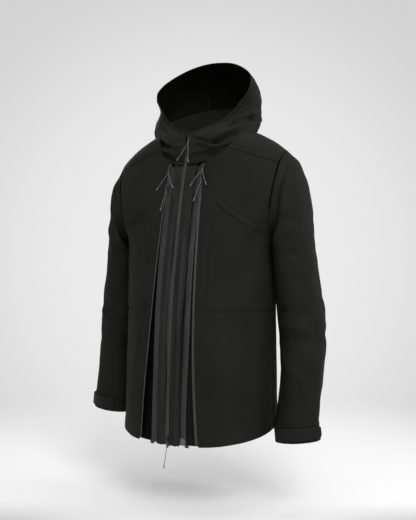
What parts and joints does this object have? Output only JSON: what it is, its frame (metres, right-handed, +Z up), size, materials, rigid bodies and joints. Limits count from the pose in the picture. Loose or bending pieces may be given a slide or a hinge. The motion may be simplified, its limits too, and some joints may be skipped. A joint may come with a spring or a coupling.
{
  "type": "hooded hardshell jacket",
  "caption": "Black hooded hardshell jacket on an unseen wearer, with a zip-in front insert between two side zips, double-ended centre zip and cuff tabs.",
  "frame": {"origin": "centre of the neck at the base of the hood, where the worn jacket is carried", "axes": "+Z up, -Y towards the front the wearer faces, +X to the wearer's left"},
  "size_m": [0.6742, 0.3484, 1.057],
  "materials": {
    "shell_fabric": "matte woven hardshell face",
    "insert_fabric": "matte woven",
    "trim_fabric": "bonded edge",
    "lining": "brushed",
    "webbing": "woven tape",
    "zip_tape": "coated, slight sheen",
    "zip_plastic": "moulded",
    "slider": "satin black",
    "pull_tab": "satin black",
    "pull_cord": "braided",
    "cord_tip": "moulded",
    "cuff_tab": "laminated soft plastic",
    "hook_loop": "looped pile"
  },
  "bodies": {
    "shell": {"back_panel": "shell_fabric", "back_yoke": "shell_fabric", "shoulder_yoke": "shell_fabric", "front_panel_left": "shell_fabric", "front_panel_right": "shell_fabric", "pocket_left": "shell_fabric", "pocket_right": "shell_fabric", "chest_welts": "trim_fabric", "front_hem": "trim_fabric", "insert_left": "insert_fabric", "insert_right": "insert_fabric", "centre_zip_left_tape": "zip_tape", "centre_zip_right_tape": "zip_tape", "insert_zip_tapes": "zip_tape", "insert_side_flaps": "insert_fabric", "panel_zip_tapes": "zip_tape", "zip_end_boxes": "zip_plastic", "hood_left": "shell_fabric", "hood_right": "shell_fabric", "hood_centre": "shell_fabric", "hood_brim": "shell_fabric", "neck_tape": "lining", "hanger_loop": "webbing", "sleeve_left_upper": "shell_fabric", "sleeve_right_upper": "shell_fabric", "left_top_slider": "slider", "right_top_slider": "slider"},
    "forearm_left": {"sleeve_left_lower": "shell_fabric", "cuff_left": "shell_fabric", "cuff_loop_patch_left": "hook_loop"},
    "tab_left": {"cuff_tab_left": "cuff_tab"},
    "forearm_right": {"sleeve_right_lower": "shell_fabric", "cuff_right": "shell_fabric", "cuff_loop_patch_right": "hook_loop"},
    "tab_right": {"cuff_tab_right": "cuff_tab"},
    "centre_top_pull": {"centre_top_pull": "pull_tab", "centre_top_cord_a": "pull_cord", "centre_top_cord_b": "pull_cord", "centre_top_tips": "cord_tip"},
    "centre_top_slider": {"centre_top_slider": "slider"},
    "left_top_pull": {"left_top_pull": "pull_tab", "left_top_cord_a": "pull_cord", "left_top_cord_b": "pull_cord", "left_top_tips": "cord_tip"},
    "right_top_pull": {"right_top_pull": "pull_tab", "right_top_cord_a": "pull_cord", "right_top_cord_b": "pull_cord", "right_top_tips": "cord_tip"},
    "left_lower_pull": {"left_lower_pull": "pull_tab", "left_lower_cord": "pull_cord", "left_lower_tips": "cord_tip"},
    "left_lower_slider": {"left_lower_slider": "slider"},
    "right_lower_pull": {"right_lower_pull": "pull_tab", "right_lower_cord": "pull_cord", "right_lower_tips": "cord_tip"},
    "right_lower_slider": {"right_lower_slider": "slider"},
    "centre_bottom_pull": {"centre_bottom_pull": "pull_tab", "centre_bottom_cord": "pull_cord", "centre_bottom_tips": "cord_tip"},
    "centre_bottom_slider": {"centre_bottom_slider": "slider"}
  },
  "joints": [
    {"name": "elbow_left", "type": "hinge", "parent": "shell", "child": "forearm_left", "pos_m": [0.274, -0.024, -0.48], "axis": [-1, 0, 0], "range_deg": [0, 35]},
    {"name": "cuff_tab_left_peel", "type": "hinge", "parent": "forearm_left", "child": "tab_left", "pos_m": [0.2477, -0.04803, -0.71695], "axis": [0.1094, 0, -0.994], "range_deg": [0, 70]},
    {"name": "elbow_right", "type": "hinge", "parent": "shell", "child": "forearm_right", "pos_m": [-0.274, -0.024, -0.46344], "axis": [-1, 0, 0], "range_deg": [0, 35]},
    {"name": "cuff_tab_right_peel", "type": "hinge", "parent": "forearm_right", "child": "tab_right", "pos_m": [-0.2477, -0.04803, -0.68865], "axis": [0.1094, 0, 0.994], "range_deg": [0, 70]},
    {"name": "centre_top_zip", "type": "hinge", "parent": "shell", "child": "centre_top_slider", "pos_m": [0, 2.46588, -0.73338], "axis": [1, 0, 0], "range_deg": [0, 9.1]},
    {"name": "centre_top_pull_swing", "type": "hinge", "parent": "centre_top_slider", "child": "centre_top_pull", "pos_m": [0, -0.06227, 0.00551], "axis": [-1, 0, 0], "range_deg": [0, 90]},
    {"name": "left_top_pull_swing", "type": "hinge", "parent": "shell", "child": "left_top_pull", "pos_m": [0.05, -0.07888, -0.07355], "axis": [-1, 0, 0], "range_deg": [0, 90]},
    {"name": "right_top_pull_swing", "type": "hinge", "parent": "shell", "child": "right_top_pull", "pos_m": [-0.05, -0.07888, -0.07355], "axis": [-1, 0, 0], "range_deg": [0, 90]},
    {"name": "left_lower_zip", "type": "hinge", "parent": "shell", "child": "left_lower_slider", "pos_m": [0, 2.46588, -0.73338], "axis": [1, 0, 0], "range_deg": [0, 12.5]},
    {"name": "left_lower_pull_swing", "type": "hinge", "parent": "left_lower_slider", "child": "left_lower_pull", "pos_m": [0.05, -0.08573, -0.10057], "axis": [-1, 0, 0], "range_deg": [0, 90]},
    {"name": "right_lower_zip", "type": "hinge", "parent": "shell", "child": "right_lower_slider", "pos_m": [0, 2.46588, -0.73338], "axis": [1, 0, 0], "range_deg": [0, 12]},
    {"name": "right_lower_pull_swing", "type": "hinge", "parent": "right_lower_slider", "child": "right_lower_pull", "pos_m": [-0.05, -0.0918, -0.12558], "axis": [-1, 0, 0], "range_deg": [0, 90]},
    {"name": "centre_bottom_zip", "type": "hinge", "parent": "shell", "child": "centre_bottom_slider", "pos_m": [0, 2.46588, -0.73338], "axis": [1, 0, 0], "range_deg": [-5.3, 0]},
    {"name": "centre_bottom_pull_swing", "type": "hinge", "parent": "centre_bottom_slider", "child": "centre_bottom_pull", "pos_m": [0, -0.16796, -0.75201], "axis": [-1, 0, 0], "range_deg": [0, 90]}
  ]
}
